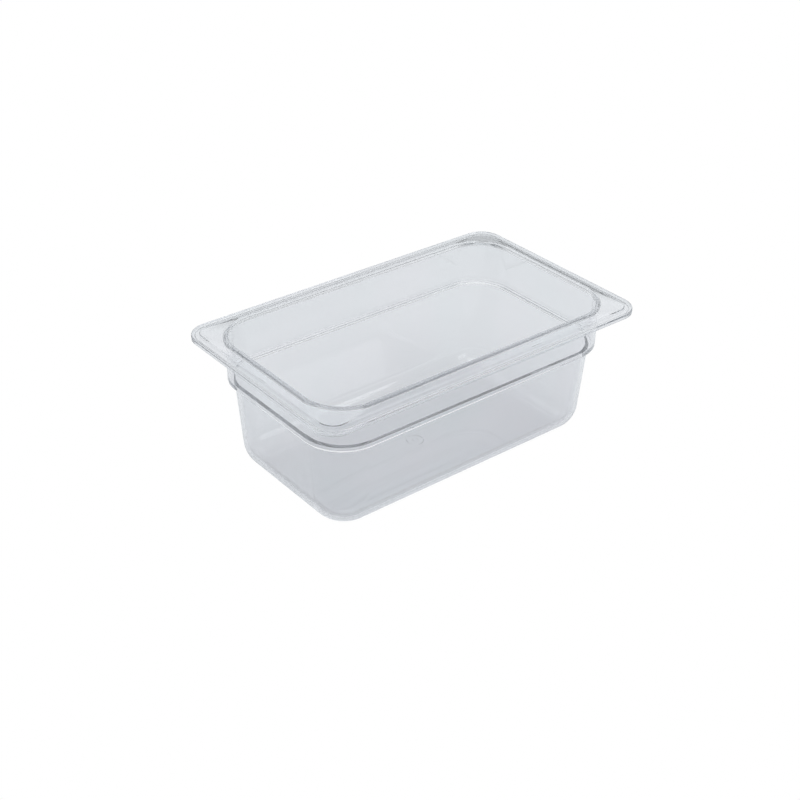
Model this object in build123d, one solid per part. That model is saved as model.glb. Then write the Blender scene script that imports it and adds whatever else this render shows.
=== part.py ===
"""Quarter-size gastronorm food pan, 100 mm deep: one clear polycarbonate moulding.

Units are millimetres.  +Z is up.  The origin is the centre of the resting face, the long side lies
along X and the short side along Y.

Every level of the pan is a rounded rectangle set inwards from the flange's outer edge.  In this file
an "inset" is that distance, measured square to a side.
"""

from build123d import *
from math import atan2, degrees, radians, tan
import os

# ---- driving dimensions -------------------------------------------------------------------------

FLANGE_LENGTH = 265.0           # gastronorm 1/4: 265 x 162 over the flange
FLANGE_WIDTH = 162.0
FLANGE_CORNER_RADIUS = 16.0
PAN_HEIGHT = 100.0              # resting face to the crest round the mouth

WALL = 2.4                      # side walls
FLOOR_THICKNESS = 2.6
FLANGE_THICKNESS = 2.4          # measured upright

# Flange: a low margin round the edge, a small ramp, then a sealing band that slopes up to the crest.
MARGIN_DROP = 2.25              # crest down to the top of the margin
RAMP_FOOT_INSET = 5.4
RAMP_HEAD_INSET = 6.0
RAMP_RISE = 0.5
CREST_INSET = 11.6              # outer edge of the level crest that carries a lid
LIP_THICKNESS = 2.4             # downturned lip that stiffens the edge
LIP_HEIGHT = 4.0                # margin's top to the lip's lowest edge

# Collar: the wider upper part of the tub, down to the stacking shoulder.
COLLAR_TOP_INSET = 11.9         # outside face, produced up to the crest
COLLAR_FOOT_INSET = 12.55       # outside face, at the shoulder
COLLAR_CORNER_RADIUS = 29.7     # outside corner, produced up to the crest
SHOULDER_HEIGHT = 67.4          # underside of the shoulder above the resting face

# Body: the narrower tapered part below the shoulder.
BODY_TOP_INSET = 15.9           # outside face, at the shoulder
BODY_FOOT_INSET = 19.6          # outside face, at the top of the base radius
BODY_CORNER_RADIUS = 28.4       # outside corner, at the shoulder
BASE_RADIUS = 19.6              # outside radius between the walls and the floor

# Edge radii.
MOUTH_RADIUS = 0.8              # crest rolling into the inside wall
LIP_TOP_RADIUS = 0.9
LIP_FOOT_RADIUS = 0.9
SHOULDER_OUTER_RADIUS = 0.5     # collar rolling into the shoulder, outside and inside
SHOULDER_INNER_RADIUS = 0.5     # shoulder turning into the body, outside and inside
UNDER_LIP_RADIUS = 0.6          # lip meeting the flange's underside

# Gate vestige: the small trimmed pip under the middle of the floor, in a shallow dimple.
GATE_DIMPLE_RADIUS = 6.0
GATE_DIMPLE_DEPTH = 0.6
GATE_PIP_RADIUS = 1.6
GATE_PIP_HEIGHT = 0.35

# ---- worked-out dimensions ----------------------------------------------------------------------

MARGIN_TOP = PAN_HEIGHT - MARGIN_DROP
RAMP_TOP = MARGIN_TOP + RAMP_RISE
LIP_FOOT = MARGIN_TOP - LIP_HEIGHT
MARGIN_UNDERSIDE = MARGIN_TOP - FLANGE_THICKNESS
CREST_UNDERSIDE = PAN_HEIGHT - FLANGE_THICKNESS
COLLAR_DRAFT = degrees(atan2(COLLAR_FOOT_INSET - COLLAR_TOP_INSET, PAN_HEIGHT - SHOULDER_HEIGHT))
BODY_DRAFT = degrees(atan2(BODY_FOOT_INSET - BODY_TOP_INSET, SHOULDER_HEIGHT - BASE_RADIUS))
INNER_SHOULDER_HEIGHT = SHOULDER_HEIGHT + WALL
INNER_BASE_RADIUS = BASE_RADIUS - FLOOR_THICKNESS
CREST_CORNER_RADIUS = COLLAR_CORNER_RADIUS - (CREST_INSET - COLLAR_TOP_INSET)
MOUTH_INSET = COLLAR_TOP_INSET + WALL
LEVEL_TOLERANCE = 0.01          # how far an edge may lie from a level and still belong to it
UPRIGHT = (Align.CENTER, Align.CENTER, Align.MIN)
DOWN = (0, 0, -1)


def outline(inset, corner_radius, height):
    """Rounded rectangle at one level, set inwards from the flange's outer edge."""
    length = FLANGE_LENGTH - 2 * inset
    width = FLANGE_WIDTH - 2 * inset
    return Pos(0, 0, height) * RectangleRounded(length, width, corner_radius)


def tapered_block(inset, corner_radius, top, foot, draft):
    """Block that starts at the top outline and narrows downwards at the draft angle."""
    return extrude(outline(inset, corner_radius, top), amount=top - foot, dir=DOWN, taper=draft)


def straight_block(inset, corner_radius, top, foot):
    """Block with upright sides between two levels."""
    return extrude(outline(inset, corner_radius, top), amount=top - foot, dir=DOWN)


def level_edges(solid, height):
    """Edges of a solid that lie wholly at one level."""
    return solid.edges().filter_by_position(Axis.Z, height - LEVEL_TOLERANCE, height + LEVEL_TOLERANCE)


def edges_within(solid, height, inset):
    """Level edges that lie nearer the middle than an inset."""
    half_length = FLANGE_LENGTH / 2 - inset
    half_width = FLANGE_WIDTH / 2 - inset
    inner = []
    for edge in level_edges(solid, height):
        ends = (edge @ 0, edge @ 1)
        if all(abs(end.X) < half_length and abs(end.Y) < half_width for end in ends):
            inner.append(edge)
    return inner


def flange_plate():
    """Flange with its margin, ramp, sloping band and level crest, as if it had no mouth."""
    margin = straight_block(0, FLANGE_CORNER_RADIUS, MARGIN_TOP, LIP_FOOT)
    margin = fillet(level_edges(margin, MARGIN_TOP), LIP_TOP_RADIUS)
    margin = fillet(level_edges(margin, LIP_FOOT), LIP_FOOT_RADIUS)
    foot = outline(RAMP_FOOT_INSET, FLANGE_CORNER_RADIUS - RAMP_FOOT_INSET, MARGIN_TOP)
    head = outline(RAMP_HEAD_INSET, FLANGE_CORNER_RADIUS - RAMP_HEAD_INSET, RAMP_TOP)
    crest = outline(CREST_INSET, CREST_CORNER_RADIUS, PAN_HEIGHT)
    return margin + loft([foot, head], ruled=True) + loft([head, crest], ruled=True)


def under_flange():
    """Hollow under the flange, inside the lip, with a roof that follows the sloping band."""
    corner_radius = FLANGE_CORNER_RADIUS - LIP_THICKNESS
    channel = straight_block(LIP_THICKNESS, corner_radius, MARGIN_UNDERSIDE, LIP_FOOT)
    channel = fillet(level_edges(channel, MARGIN_UNDERSIDE), UNDER_LIP_RADIUS)
    low = outline(RAMP_HEAD_INSET, FLANGE_CORNER_RADIUS - RAMP_HEAD_INSET, MARGIN_UNDERSIDE)
    high = outline(CREST_INSET, CREST_CORNER_RADIUS, CREST_UNDERSIDE)
    return channel + loft([low, high], ruled=True)


def collar(wall_inset, top, foot):
    """Collar block between two levels; a wall inset of 0 gives the outside and WALL the inside."""
    growth = (PAN_HEIGHT - top) * tan(radians(COLLAR_DRAFT))
    inset = COLLAR_TOP_INSET + wall_inset + growth
    return tapered_block(inset, COLLAR_CORNER_RADIUS - wall_inset - growth, top, foot, COLLAR_DRAFT)


def body(wall_inset, top, foot, base_radius):
    """Body block with its rounded base; a wall inset of 0 gives the outside and WALL the inside."""
    rise = (top - SHOULDER_HEIGHT) * tan(radians(BODY_DRAFT))
    inset = BODY_TOP_INSET + wall_inset - rise
    block = tapered_block(inset, BODY_CORNER_RADIUS - wall_inset + rise, top, foot, BODY_DRAFT)
    return fillet(level_edges(block, foot), base_radius)


def outside():
    """Everything inside the pan's outer skin, as if the tub were solid."""
    collar_block = collar(0, MARGIN_TOP, SHOULDER_HEIGHT)
    collar_block = fillet(level_edges(collar_block, SHOULDER_HEIGHT), SHOULDER_OUTER_RADIUS)
    upper = flange_plate() - under_flange() + collar_block
    whole = upper + body(0, SHOULDER_HEIGHT, 0, BASE_RADIUS)
    body_inset = BODY_TOP_INSET - SHOULDER_INNER_RADIUS
    return fillet(edges_within(whole, SHOULDER_HEIGHT, body_inset), SHOULDER_INNER_RADIUS)


def inside():
    """Cavity of the tub."""
    upper = collar(WALL, PAN_HEIGHT, INNER_SHOULDER_HEIGHT)
    upper = fillet(level_edges(upper, INNER_SHOULDER_HEIGHT), SHOULDER_OUTER_RADIUS)
    lower = body(WALL, INNER_SHOULDER_HEIGHT, FLOOR_THICKNESS, INNER_BASE_RADIUS)
    whole = upper + lower
    ledge_inset = BODY_TOP_INSET + WALL - SHOULDER_INNER_RADIUS
    return fillet(edges_within(whole, INNER_SHOULDER_HEIGHT, ledge_inset), SHOULDER_INNER_RADIUS)


def gate_dimple():
    """Shallow dimple under the floor with the trimmed gate pip left standing in it."""
    dimple = Cylinder(GATE_DIMPLE_RADIUS, GATE_DIMPLE_DEPTH, align=UPRIGHT)
    pip = Cylinder(GATE_PIP_RADIUS, GATE_PIP_HEIGHT, align=UPRIGHT)
    return dimple - Pos(0, 0, GATE_DIMPLE_DEPTH - GATE_PIP_HEIGHT) * pip


def pan():
    """The finished moulding."""
    tub = outside() - inside() - gate_dimple()
    between_crest_edges = (CREST_INSET + MOUTH_INSET) / 2
    return fillet(edges_within(tub, PAN_HEIGHT, between_crest_edges), MOUTH_RADIUS)


def main():
    os.makedirs("parts", exist_ok=True)
    piece = pan()
    print("pan volume", round(piece.volume), "mm3")
    export_step(piece, "parts/pan.step")


main()
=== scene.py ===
"""Looks of the clear food pan: one moulded shell of clear plastic in a studio.

The floor and backdrop look paper white, and the surroundings that light the pan are greyer, with
dim and bright bands behind it.
"""

import math

import bpy
import numpy as np
from mathutils import Matrix, Vector


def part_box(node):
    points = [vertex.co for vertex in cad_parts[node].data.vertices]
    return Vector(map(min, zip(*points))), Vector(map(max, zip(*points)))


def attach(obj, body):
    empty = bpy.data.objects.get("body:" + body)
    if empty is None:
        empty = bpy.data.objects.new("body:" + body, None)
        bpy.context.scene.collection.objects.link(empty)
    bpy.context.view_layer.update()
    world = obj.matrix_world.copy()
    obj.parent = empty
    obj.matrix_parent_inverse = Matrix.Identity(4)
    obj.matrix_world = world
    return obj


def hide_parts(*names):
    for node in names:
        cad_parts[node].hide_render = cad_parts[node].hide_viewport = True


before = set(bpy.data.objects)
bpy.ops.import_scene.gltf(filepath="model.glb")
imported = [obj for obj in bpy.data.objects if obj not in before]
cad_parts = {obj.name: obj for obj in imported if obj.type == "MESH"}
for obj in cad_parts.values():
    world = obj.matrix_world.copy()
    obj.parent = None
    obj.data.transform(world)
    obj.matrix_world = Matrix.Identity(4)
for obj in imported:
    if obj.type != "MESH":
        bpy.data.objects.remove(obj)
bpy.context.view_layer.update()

# ---- sizes of the moulding, in metres -----------------------------------------------------------

pan_low, pan_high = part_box("pan")
HALF_LENGTH = pan_high.x
HALF_WIDTH = pan_high.y
PAN_TOP = pan_high.z

WALL = 0.0024
FLOOR_TOP = 0.0026
FLANGE_THICKNESS = 0.0024
MARGIN_TOP = PAN_TOP - 0.00225
RAMP_FOOT_INSET = 0.0054
RAMP_HEAD_INSET = 0.0060
RAMP_TOP = MARGIN_TOP + 0.0005
CREST_INSET = 0.0116
LIP_FOOT = MARGIN_TOP - 0.004
LIP_THICKNESS = 0.0024

COLLAR_TOP_INSET = 0.0119
COLLAR_FOOT_INSET = 0.01255
SHOULDER = 0.0674
BODY_TOP_INSET = 0.0159
BODY_FOOT_INSET = 0.0196
BASE_RADIUS = 0.0196
COLLAR_SLOPE = (COLLAR_FOOT_INSET - COLLAR_TOP_INSET) / (PAN_TOP - SHOULDER)
BODY_SLOPE = (BODY_FOOT_INSET - BODY_TOP_INSET) / (SHOULDER - BASE_RADIUS)

# Corner radius in plan plus the inset is the same all down one family of surfaces.
FLANGE_CORNER = 0.016
COLLAR_CORNER = 0.0297 + COLLAR_TOP_INSET
BODY_CORNER = 0.0284 + BODY_TOP_INSET

# Radii of the wall section's corners.
SHOULDER_RADIUS = 0.0005
MOUTH_RADIUS = 0.0008
CREST_EDGE_RADIUS = 0.0006
RAMP_EDGE_RADIUS = 0.0003
LIP_OUTER_RADIUS = 0.0009
LIP_INNER_RADIUS = 0.0003
UNDER_LIP_RADIUS = 0.0006
UNDER_BAND_RADIUS = 0.0004
COLLAR_ROOT_RADIUS = 0.0010

# Gate mark under the floor.
GATE_DIMPLE_RADIUS = 0.006
GATE_DIMPLE_DEPTH = 0.0006
GATE_PIP_RADIUS = 0.0016
GATE_PIP_HEIGHT = 0.00035
GATE_EDGE = 0.00012             # width of the softened edges of the dimple and pip
GATE_WALL_LEAN = 0.9            # level part of the normals on the sides of the dimple and pip

# ---- how finely the shell is built --------------------------------------------------------------

ARC_STEP = math.radians(7.5)    # turn between two rings on a rounded corner of the section
LONGEST_RUN = 0.008             # longest gap between two rings on a straight part of the section
CORNER_STEPS = 24
LONG_SIDE_STEPS = 26
SHORT_SIDE_STEPS = 14
FLOOR_SHARES = (0.2, 0.4, 0.6, 0.8)     # rings across the floor, from its edge to the first circle
FLOOR_CIRCLES = (0.024, 0.008)          # radii of the circles inside the tub's floor

# A station is one ring's place on the section: its inset, height and plan radius, and then the rate
# of each, per metre along the section.
INSET, HEIGHT, PLAN_RADIUS = range(3)
RADIUS_RATE = 5

# ---- plastic ------------------------------------------------------------------------------------

DEEPEST_BOUNCE = 16             # light caught inside the plastic for longer than this goes straight on
PLASTIC_INDEX = 1.585
PLASTIC_TINTS = [(0.935, 0.948, 0.956), (0.95, 0.948, 0.96)]
TINT_SCALE = 18.0
ABSORBED_TINT = (0.82, 0.832, 0.845)
ABSORPTION = 30.0               # per metre, for the part of the light that the tint leaves out
SHADOW_TINT = (0.92, 0.92, 0.925)
POLISH = (0.012, 0.03)          # roughness of the moulded gloss, from place to place
POLISH_SCALE = 45.0
SCRATCH_ROUGHNESS = 0.16
SCRATCH_THRESHOLD = (0.66, 0.74)
SCRATCH_DIRECTIONS = [0.35, 1.15, 2.3]
SCRATCH_TILT = (0.2, 0.1)
SCRATCH_STRETCH = (12, 900, 500)
WORN_BELOW = 0.004              # height up to which the resting face is scuffed
WORN_ROUGHNESS = 0.14
WORN_SCALE = 90.0
WORN_THRESHOLD = (0.5, 0.75)
WAVE_SCALE = 16.0               # mould waviness, waves per metre
WAVE_HEIGHT = 0.00006
NOISE_RANGE = (0.35, 0.65)      # where most of a noise pattern's values lie

# ---- studio -------------------------------------------------------------------------------------

CAMERA_AZIMUTH = math.radians(-39.05)
CAMERA_ELEVATION = math.radians(31.74)
CAMERA_ROLL = math.radians(0.81)
CAMERA_DISTANCE = 0.94256
CAMERA_AIM = Vector((-0.02445, -0.01405, 0.050))
CAMERA_LENS = 63.295
SENSOR_WIDTH = 36.0
FLOOR_SIZE = 8.0
FLOOR_GAP = 0.0002
FLOOR_COLOUR = (0.93, 0.945, 0.96)
FLOOR_ROUGHNESS = 0.9
ROOM_TINT = (0.97, 0.985, 1.0)
MOST_BOUNCES = 48

# Room brightness by the height of the direction, which is the sine of its elevation.
BACK_BRIGHTNESS = [
    (0.0, 0.12),                # dim near the horizon
    (0.31, 0.17),
    (0.41, 1.0),                # bright from 24 to 31 degrees up
    (0.51, 0.95),
    (0.55, 0.75),
    (0.60, 0.8),
    (0.66, 1.3),                # brightest from 41 to 50 degrees up
    (0.76, 1.4),
    (0.84, 0.8),
]
SIDE_BRIGHTNESS = [(0.0, 0.6), (0.75, 0.55), (0.85, 0.8), (1.0, 0.8)]
BACK_DIRECTION = (0.629, 0.777, 0.0)    # fixed in the room: behind the pan in the photograph's view
BACK_EDGE = (0.3, 0.7)          # cosine of the turn away from straight back where the two blend

# Soft boxes: name, place, point aimed at, size and power in watts.
SOFT_BOXES = [
    ("key", (-0.3, -0.5, 1.5), (0, 0, 0), (1.2, 1.2), 4.3),
    ("side_key", (0.45, -1.25, 0.72), (0, 0, 0.05), (0.9, 0.5), 2.2),
]


# ---- the wall's section -------------------------------------------------------------------------


def collar_inset(height):
    """Outside inset of the collar at a height."""
    return COLLAR_TOP_INSET + (PAN_TOP - height) * COLLAR_SLOPE


def body_inset(height):
    """Outside inset of the body at a height."""
    return BODY_TOP_INSET + (SHOULDER - height) * BODY_SLOPE


def section_corners():
    """Corners of the wall's section, from inside the floor over the rim to under the floor.

    Each is (inset, height, radius, family), where the family says how its plan corners turn.
    """
    ledge = SHOULDER + WALL
    margin_underside = MARGIN_TOP - FLANGE_THICKNESS
    crest_underside = PAN_TOP - FLANGE_THICKNESS
    return [
        (body_inset(FLOOR_TOP) + WALL, FLOOR_TOP, BASE_RADIUS - FLOOR_TOP, BODY_CORNER),
        (body_inset(ledge) + WALL, ledge, SHOULDER_RADIUS, BODY_CORNER),
        (collar_inset(ledge) + WALL, ledge, SHOULDER_RADIUS, COLLAR_CORNER),
        (COLLAR_TOP_INSET + WALL, PAN_TOP, MOUTH_RADIUS, COLLAR_CORNER),
        (CREST_INSET, PAN_TOP, CREST_EDGE_RADIUS, COLLAR_CORNER),
        (RAMP_HEAD_INSET, RAMP_TOP, RAMP_EDGE_RADIUS, FLANGE_CORNER),
        (RAMP_FOOT_INSET, MARGIN_TOP, RAMP_EDGE_RADIUS, FLANGE_CORNER),
        (0.0, MARGIN_TOP, LIP_OUTER_RADIUS, FLANGE_CORNER),
        (0.0, LIP_FOOT, LIP_OUTER_RADIUS, FLANGE_CORNER),
        (LIP_THICKNESS, LIP_FOOT, LIP_INNER_RADIUS, FLANGE_CORNER),
        (LIP_THICKNESS, margin_underside, UNDER_LIP_RADIUS, FLANGE_CORNER),
        (RAMP_HEAD_INSET, margin_underside, UNDER_BAND_RADIUS, FLANGE_CORNER),
        (collar_inset(crest_underside), crest_underside, COLLAR_ROOT_RADIUS, COLLAR_CORNER),
        (COLLAR_FOOT_INSET, SHOULDER, SHOULDER_RADIUS, COLLAR_CORNER),
        (BODY_TOP_INSET, SHOULDER, SHOULDER_RADIUS, BODY_CORNER),
        (body_inset(0.0), 0.0, BASE_RADIUS, BODY_CORNER),
    ]


def rounded_corner(previous, corner, following, radius, family):
    """Stations round one corner of the section."""
    before = (corner - previous).normalized()
    after = (following - corner).normalized()
    turn = math.atan2(before.cross(after), before.dot(after))
    start = corner - before * (radius * math.tan(abs(turn) / 2))
    hub = start + before.orthogonal() * (radius * math.copysign(1.0, turn))
    steps = max(2, round(abs(turn) / ARC_STEP))
    stations = []
    for k in range(steps + 1):
        spin = Matrix.Rotation(turn * k / steps, 2)
        place = hub + spin @ (start - hub)
        along = spin @ before
        stations.append([place.x, place.y, family - place.x, along.x, along.y, -along.x])
    return stations


def section_arcs():
    """Stations round each corner of the section in turn."""
    corners = section_corners()
    points = [Vector(corner[:2]) for corner in corners]
    points = [Vector((HALF_WIDTH, FLOOR_TOP))] + points + [Vector((HALF_WIDTH, 0.0))]
    arcs = []
    for i, (_, _, radius, family) in enumerate(corners, start=1):
        arcs.append(rounded_corner(points[i - 1], points[i], points[i + 1], radius, family))
    return arcs


def with_runs(arcs):
    """All the stations in one list, with the long straight runs between the arcs divided.

    Along a run the plan radius changes evenly, also where the run leads to another family.
    """
    stations = list(arcs[0])
    for arc in arcs[1:]:
        start, end = stations[-1], arc[0]
        run = math.hypot(end[INSET] - start[INSET], end[HEIGHT] - start[HEIGHT])
        radius_rate = (end[PLAN_RADIUS] - start[PLAN_RADIUS]) / run
        start[RADIUS_RATE] = radius_rate
        end[RADIUS_RATE] = radius_rate
        pieces = max(1, math.ceil(run / LONGEST_RUN))
        for k in range(1, pieces):
            share = k / pieces
            stations.append([a + (b - a) * share for a, b in zip(start, end)])
        stations.extend(arc)
    return stations


# ---- the shell ----------------------------------------------------------------------------------


def plan_corner(quarter, reach_x, reach_y, radius):
    """Points and outward normals round one corner of a rounded rectangle."""
    sx, sy = [(1, 1), (-1, 1), (-1, -1), (1, -1)][quarter]
    angles = (quarter + np.linspace(0, 1, CORNER_STEPS + 1)) * math.pi / 2
    normal = np.stack([np.cos(angles), np.sin(angles)], axis=1)
    return np.array([sx * reach_x, sy * reach_y]) + radius * normal, normal


def plan_ring(inset, radius):
    """Points of a rounded rectangle and their outward normals, the same count for every ring."""
    reach_x = HALF_LENGTH - inset - radius
    reach_y = HALF_WIDTH - inset - radius
    arcs = [plan_corner(quarter, reach_x, reach_y, radius) for quarter in range(4)]
    points, normals = [], []
    for quarter, (arc, normal) in enumerate(arcs):
        points.append(arc)
        normals.append(normal)
        steps = LONG_SIDE_STEPS if quarter % 2 == 0 else SHORT_SIDE_STEPS
        share = np.linspace(0, 1, steps + 1)[1:-1, None]
        nearest = arcs[(quarter + 1) % 4][0][0]
        points.append(arc[-1] * (1 - share) + nearest * share)
        normals.append(np.repeat(normal[-1:], steps - 1, axis=0))
    return np.concatenate(points), np.concatenate(normals)


def level_ring(plan, height, plan_normals, upright):
    """One ring as 3-D points and normals."""
    count = len(plan)
    points = np.column_stack([plan, np.full(count, height)])
    normals = np.column_stack([plan_normals, np.broadcast_to(upright, count)])
    return points, normals


def wall_rings():
    """Rings from the edge of the tub's floor over the rim to the edge of the resting face."""
    rings = []
    for inset, height, radius, inset_rate, height_rate, radius_rate in with_runs(section_arcs()):
        plan, outward = plan_ring(inset, radius)
        spread = np.abs(outward).sum(axis=1)
        # How fast the outline moves outwards along its own normals, per metre of section.
        growth = radius_rate - (inset_rate + radius_rate) * spread
        rings.append(level_ring(plan, height, -outward * height_rate, growth))
    return rings


def floor_rings(edge, height, facing, circles):
    """Rings that carry a flat floor from its edge in to a set of circles round its middle.

    circles holds (radius, height, outward part of the normal) for each circle, from the outside in.
    """
    half = np.abs(edge).max(axis=0)
    angles = np.arctan2(edge[:, 1] / half[1], edge[:, 0] / half[0])
    radial = np.stack([np.cos(angles), np.sin(angles)], axis=1)
    first = radial * circles[0][0]
    rings = []
    for share in FLOOR_SHARES:
        flat = edge * (1 - share) + first * share
        rings.append(level_ring(flat, height, np.zeros_like(flat), facing))
    for radius, at, lean in circles:
        upright = math.sqrt(max(0.0, 1 - lean * lean)) * facing
        rings.append(level_ring(radial * radius, at, radial * lean, upright))
    return rings


def gate_circles():
    """The trimmed gate pip in its shallow dimple under the floor."""
    roof = GATE_DIMPLE_DEPTH
    pip = roof - GATE_PIP_HEIGHT
    return [
        (GATE_DIMPLE_RADIUS + GATE_EDGE, 0.0, 0.0),
        (GATE_DIMPLE_RADIUS, GATE_EDGE, -GATE_WALL_LEAN),
        (GATE_DIMPLE_RADIUS - GATE_EDGE, roof - GATE_EDGE, -GATE_WALL_LEAN),
        (GATE_DIMPLE_RADIUS - 2 * GATE_EDGE, roof, 0.0),
        (GATE_PIP_RADIUS + 2 * GATE_EDGE, roof, 0.0),
        (GATE_PIP_RADIUS + GATE_EDGE, roof - GATE_EDGE, GATE_WALL_LEAN),
        (GATE_PIP_RADIUS, pip + GATE_EDGE, GATE_WALL_LEAN),
        (GATE_PIP_RADIUS - GATE_EDGE, pip, 0.0),
        (GATE_PIP_RADIUS / 2, pip, 0.0),
    ]


def shell_rings():
    """Every ring of the skin, from the middle of the tub's floor to the middle of its underside."""
    walls = wall_rings()
    tub_edge = walls[0][0][:, :2]
    foot_edge = walls[-1][0][:, :2]
    tub_circles = [(radius, FLOOR_TOP, 0.0) for radius in FLOOR_CIRCLES]
    tub_floor = floor_rings(tub_edge, FLOOR_TOP, 1.0, tub_circles)
    underside = floor_rings(foot_edge, 0.0, -1.0, gate_circles())
    return tub_floor[::-1] + walls + underside


def shell_faces(ring_count, count):
    """Faces between neighbouring rings, and a fan to a middle point at each end."""
    faces = []
    for r in range(ring_count - 1):
        for i in range(count):
            j = (i + 1) % count
            faces.append((r * count + i, (r + 1) * count + i, (r + 1) * count + j, r * count + j))
    tub_middle = ring_count * count
    foot_middle = tub_middle + 1
    last = (ring_count - 1) * count
    for i in range(count):
        j = (i + 1) % count
        faces.append((tub_middle, i, j))
        faces.append((foot_middle, last + j, last + i))
    return faces


def pan_shell():
    """The whole moulding as one closed skin with exact normals."""
    rings = shell_rings()
    faces = shell_faces(len(rings), len(rings[0][0]))
    points = np.concatenate([ring[0] for ring in rings])
    normals = np.concatenate([ring[1] for ring in rings])
    lengths = np.linalg.norm(normals, axis=1, keepdims=True)
    middles = [(0.0, 0.0, FLOOR_TOP), (0.0, 0.0, GATE_DIMPLE_DEPTH - GATE_PIP_HEIGHT)]
    points = np.vstack([points, middles])
    normals = np.vstack([normals / lengths, [(0, 0, 1), (0, 0, -1)]])
    return points, normals, faces


def make_pan():
    """The visible pan."""
    points, normals, faces = pan_shell()
    mesh = bpy.data.meshes.new("clear_pan")
    mesh.from_pydata(points.tolist(), [], faces)
    mesh.validate()
    mesh.shade_smooth()
    mesh.normals_split_custom_set_from_vertices(normals.tolist())
    mesh.materials.append(clear_plastic())
    pan = bpy.data.objects.new("clear_pan", mesh)
    bpy.context.scene.collection.objects.link(pan)
    return pan


# ---- parts of a material ------------------------------------------------------------------------


def new_material(name):
    """An empty material and its node tree."""
    material = bpy.data.materials.new(name)
    material.use_nodes = True
    return material, material.node_tree


def noise(tree, place, scale, detail=2.0):
    """Noise pattern, from 0 to 1."""
    pattern = tree.nodes.new("ShaderNodeTexNoise")
    pattern.inputs["Scale"].default_value = scale
    pattern.inputs["Detail"].default_value = detail
    tree.links.new(place, pattern.inputs["Vector"])
    return pattern.outputs["Fac"]


def remap(tree, value, source, target):
    """A value carried from one range to another, held at both ends."""
    ranged = tree.nodes.new("ShaderNodeMapRange")
    ranged.inputs["From Min"].default_value, ranged.inputs["From Max"].default_value = source
    ranged.inputs["To Min"].default_value, ranged.inputs["To Max"].default_value = target
    tree.links.new(value, ranged.inputs["Value"])
    return ranged.outputs["Result"]


def combine(tree, operation, first, second):
    """Two values through one math node."""
    node = tree.nodes.new("ShaderNodeMath")
    node.operation = operation
    tree.links.new(first, node.inputs[0])
    tree.links.new(second, node.inputs[1])
    return node.outputs[0]


def largest(tree, values):
    """The largest of several values."""
    result = values[0]
    for value in values[1:]:
        result = combine(tree, "MAXIMUM", result, value)
    return result


def mix_shaders(tree, factor, first, second):
    """The first shader where the factor is 0 and the second where it is 1."""
    mix = tree.nodes.new("ShaderNodeMixShader")
    tree.links.new(factor, mix.inputs[0])
    tree.links.new(first, mix.inputs[1])
    tree.links.new(second, mix.inputs[2])
    return mix.outputs[0]


def mix_colours(tree, factor):
    """A colour mix with its factor linked."""
    mix = tree.nodes.new("ShaderNodeMix")
    mix.data_type = "RGBA"
    tree.links.new(factor, mix.inputs["Factor"])
    return mix


def seen_directly(tree):
    """1 for rays straight from the camera, otherwise 0."""
    return tree.nodes.new("ShaderNodeLightPath").outputs["Is Camera Ray"]


# ---- clear plastic ------------------------------------------------------------------------------


def scratches(tree, place):
    """Fine hairlines in a few directions, as roughness."""
    hairlines = []
    for turn in SCRATCH_DIRECTIONS:
        stretched = tree.nodes.new("ShaderNodeMapping")
        stretched.inputs["Rotation"].default_value = (*SCRATCH_TILT, turn)
        stretched.inputs["Scale"].default_value = SCRATCH_STRETCH
        tree.links.new(place, stretched.inputs["Vector"])
        streaks = noise(tree, stretched.outputs["Vector"], 1.0, detail=1.0)
        hairlines.append(remap(tree, streaks, SCRATCH_THRESHOLD, (0.0, SCRATCH_ROUGHNESS)))
    return largest(tree, hairlines)


def worn_foot(tree, place):
    """Scuffing of the resting face, as roughness."""
    split = tree.nodes.new("ShaderNodeSeparateXYZ")
    tree.links.new(place, split.inputs[0])
    low = remap(tree, split.outputs["Z"], (0.0, WORN_BELOW), (1.0, 0.0))
    patches = noise(tree, place, WORN_SCALE, detail=6.0)
    rough = remap(tree, patches, WORN_THRESHOLD, (0.0, WORN_ROUGHNESS))
    return combine(tree, "MULTIPLY", low, rough)


def roughness(tree, place):
    """Moulded gloss with its scratches and scuffs."""
    gloss = remap(tree, noise(tree, place, POLISH_SCALE, detail=4.0), NOISE_RANGE, POLISH)
    return largest(tree, [gloss, scratches(tree, place), worn_foot(tree, place)])


def tint(tree, place):
    """Slight change of tint through the moulding."""
    share = remap(tree, noise(tree, place, TINT_SCALE), NOISE_RANGE, (0.0, 1.0))
    colours = mix_colours(tree, share)
    for socket, colour in zip(("A", "B"), PLASTIC_TINTS):
        colours.inputs[socket].default_value = (*colour, 1)
    return colours.outputs["Result"]


def waviness(tree, place):
    """Very shallow waves of the moulded skin."""
    bump = tree.nodes.new("ShaderNodeBump")
    bump.inputs["Strength"].default_value = 1.0
    bump.inputs["Distance"].default_value = WAVE_HEIGHT
    tree.links.new(noise(tree, place, WAVE_SCALE, detail=0.0), bump.inputs["Height"])
    return bump.outputs["Normal"]


def passes_straight_on(tree):
    """1 for shadow and diffuse rays and for light caught too long in the wall, otherwise 0."""
    path = tree.nodes.new("ShaderNodeLightPath")
    deep = tree.nodes.new("ShaderNodeMath")
    deep.operation = "GREATER_THAN"
    deep.inputs[1].default_value = DEEPEST_BOUNCE
    tree.links.new(path.outputs["Ray Depth"], deep.inputs[0])
    return largest(tree, [path.outputs["Is Shadow Ray"], path.outputs["Is Diffuse Ray"], deep.outputs[0]])


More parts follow.
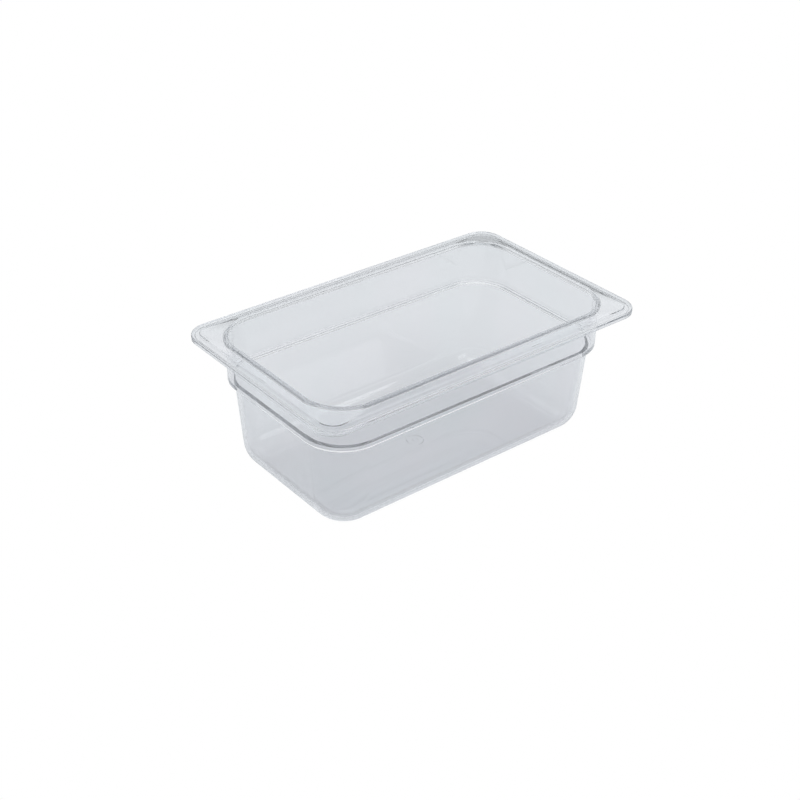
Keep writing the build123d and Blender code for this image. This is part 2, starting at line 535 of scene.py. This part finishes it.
def moulded_surface(tree):
    """Glossy, faintly wavy surface with fine scratches and a scuffed foot."""
    place = tree.nodes.new("ShaderNodeTexCoord").outputs["Object"]
    shader = tree.nodes["Principled BSDF"]
    shader.inputs["Transmission Weight"].default_value = 1.0
    shader.inputs["IOR"].default_value = PLASTIC_INDEX
    tree.links.new(roughness(tree, place), shader.inputs["Roughness"])
    tree.links.new(tint(tree, place), shader.inputs["Base Color"])
    tree.links.new(waviness(tree, place), shader.inputs["Normal"])
    return shader.outputs[0]


def absorption(tree):
    """Light lost on the way through the plastic."""
    inside = tree.nodes.new("ShaderNodeVolumeAbsorption")
    inside.inputs["Color"].default_value = (*ABSORBED_TINT, 1)
    inside.inputs["Density"].default_value = ABSORPTION
    return inside.outputs[0]


def clear_plastic():
    """Clear moulded polycarbonate."""
    material, tree = new_material("clear_polycarbonate")
    clear = tree.nodes.new("ShaderNodeBsdfTransparent")
    clear.inputs["Color"].default_value = (*SHADOW_TINT, 1)
    surface = mix_shaders(tree, passes_straight_on(tree), moulded_surface(tree), clear.outputs[0])
    output = tree.nodes["Material Output"]
    tree.links.new(surface, output.inputs["Surface"])
    tree.links.new(absorption(tree), output.inputs["Volume"])
    return material


# ---- floor, surroundings, lights and camera -----------------------------------------------------


def floor_finish():
    """Pale floor: paper white for rays straight from the camera, greyer for every other ray."""
    material, tree = new_material("pale_floor")
    shader = tree.nodes["Principled BSDF"]
    shader.inputs["Base Color"].default_value = (*FLOOR_COLOUR, 1)
    shader.inputs["Roughness"].default_value = FLOOR_ROUGHNESS
    shader.inputs["Specular IOR Level"].default_value = 0.0
    paper = tree.nodes.new("ShaderNodeEmission")
    surface = mix_shaders(tree, seen_directly(tree), shader.outputs[0], paper.outputs[0])
    tree.links.new(surface, tree.nodes["Material Output"].inputs["Surface"])
    return material


def make_floor():
    """Square floor just under the resting face."""
    mesh = bpy.data.meshes.new("studio_floor")
    half = FLOOR_SIZE / 2
    height = pan_low.z - FLOOR_GAP
    corners = [(x * half, y * half, height) for x, y in ((-1, -1), (1, -1), (1, 1), (-1, 1))]
    mesh.from_pydata(corners, [], [(0, 1, 2, 3)])
    mesh.materials.append(floor_finish())
    floor = bpy.data.objects.new("studio_floor", mesh)
    bpy.context.scene.collection.objects.link(floor)


def brightness_ramp(tree, height, stops):
    """Grey ramp over the height of the direction, tinted like the room."""
    ramp = tree.nodes.new("ShaderNodeValToRGB")
    tree.links.new(height, ramp.inputs[0])
    elements = ramp.color_ramp.elements
    while len(elements) < len(stops):
        elements.new(1.0)
    for element, (place, brightness) in zip(elements, stops):
        element.position = place
        element.color = (*(brightness * share for share in ROOM_TINT), 1)
    return ramp.outputs[0]


def how_far_back(tree, direction):
    """1 for directions behind the pan, falling to 0 towards the sides."""
    level_part = tree.nodes.new("ShaderNodeVectorMath")
    level_part.operation = "MULTIPLY"
    level_part.inputs[1].default_value = (1, 1, 0)
    unit = tree.nodes.new("ShaderNodeVectorMath")
    unit.operation = "NORMALIZE"
    along = tree.nodes.new("ShaderNodeVectorMath")
    along.operation = "DOT_PRODUCT"
    along.inputs[1].default_value = BACK_DIRECTION
    blend = tree.nodes.new("ShaderNodeMapRange")
    blend.interpolation_type = "SMOOTHSTEP"
    blend.inputs["From Min"].default_value, blend.inputs["From Max"].default_value = BACK_EDGE
    tree.links.new(direction, level_part.inputs[0])
    tree.links.new(level_part.outputs[0], unit.inputs[0])
    tree.links.new(unit.outputs[0], along.inputs[0])
    tree.links.new(along.outputs["Value"], blend.inputs["Value"])
    return blend.outputs["Result"]


def room_colour(tree):
    """Colour of the surroundings: banded behind the pan and nearly even elsewhere."""
    direction = tree.nodes.new("ShaderNodeTexCoord").outputs["Generated"]
    split = tree.nodes.new("ShaderNodeSeparateXYZ")
    tree.links.new(direction, split.inputs[0])
    height = split.outputs["Z"]
    colour = mix_colours(tree, how_far_back(tree, direction))
    tree.links.new(brightness_ramp(tree, height, SIDE_BRIGHTNESS), colour.inputs["A"])
    tree.links.new(brightness_ramp(tree, height, BACK_BRIGHTNESS), colour.inputs["B"])
    return colour.outputs["Result"]


def make_world():
    """Surroundings that light the pan, behind a paper-white backdrop that only the camera sees."""
    world = bpy.data.worlds.new("studio")
    bpy.context.scene.world = world
    world.use_nodes = True
    tree = world.node_tree
    room = tree.nodes["Background"]
    tree.links.new(room_colour(tree), room.inputs["Color"])
    backdrop = tree.nodes.new("ShaderNodeBackground")
    backdrop.inputs["Color"].default_value = (1, 1, 1, 1)
    surface = mix_shaders(tree, seen_directly(tree), room.outputs[0], backdrop.outputs[0])
    tree.links.new(surface, tree.nodes["World Output"].inputs["Surface"])


def soft_box(name, place, aim, size, power):
    """Rectangular soft box."""
    light = bpy.data.lights.new(name, "AREA")
    light.shape = "RECTANGLE"
    light.size, light.size_y = size
    light.energy = power
    box = bpy.data.objects.new(name, light)
    box.location = place
    box.rotation_euler = (Vector(aim) - Vector(place)).to_track_quat("-Z", "Y").to_euler()
    bpy.context.scene.collection.objects.link(box)


def make_camera():
    """Camera at the photograph's viewing angle."""
    sine, cosine = math.sin(CAMERA_AZIMUTH), math.cos(CAMERA_AZIMUTH)
    reach = math.cos(CAMERA_ELEVATION)
    back = Vector((sine * reach, -cosine * reach, math.sin(CAMERA_ELEVATION)))
    right = Matrix.Rotation(CAMERA_ROLL, 3, back) @ Vector((cosine, sine, 0.0))
    up = back.cross(right)
    data = bpy.data.cameras.new("camera")
    data.lens = CAMERA_LENS
    data.sensor_width = SENSOR_WIDTH
    camera = bpy.data.objects.new("camera", data)
    pose = Matrix((right, up, back)).transposed().to_4x4()
    pose.translation = CAMERA_AIM + back * CAMERA_DISTANCE
    camera.matrix_world = pose
    bpy.context.scene.collection.objects.link(camera)
    bpy.context.scene.camera = camera


def set_light_paths():
    """Enough bounces for light to get through many walls, and plain colours."""
    scene = bpy.context.scene
    scene.view_settings.view_transform = "Standard"
    scene.cycles.max_bounces = MOST_BOUNCES
    scene.cycles.glossy_bounces = MOST_BOUNCES
    scene.cycles.transmission_bounces = MOST_BOUNCES


def main():
    """The pan in place of the CAD node, and the studio round it."""
    pan = make_pan()
    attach(pan, "root")
    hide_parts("pan")
    make_floor()
    make_world()
    for box in SOFT_BOXES:
        soft_box(*box)
    make_camera()
    set_light_paths()


main()
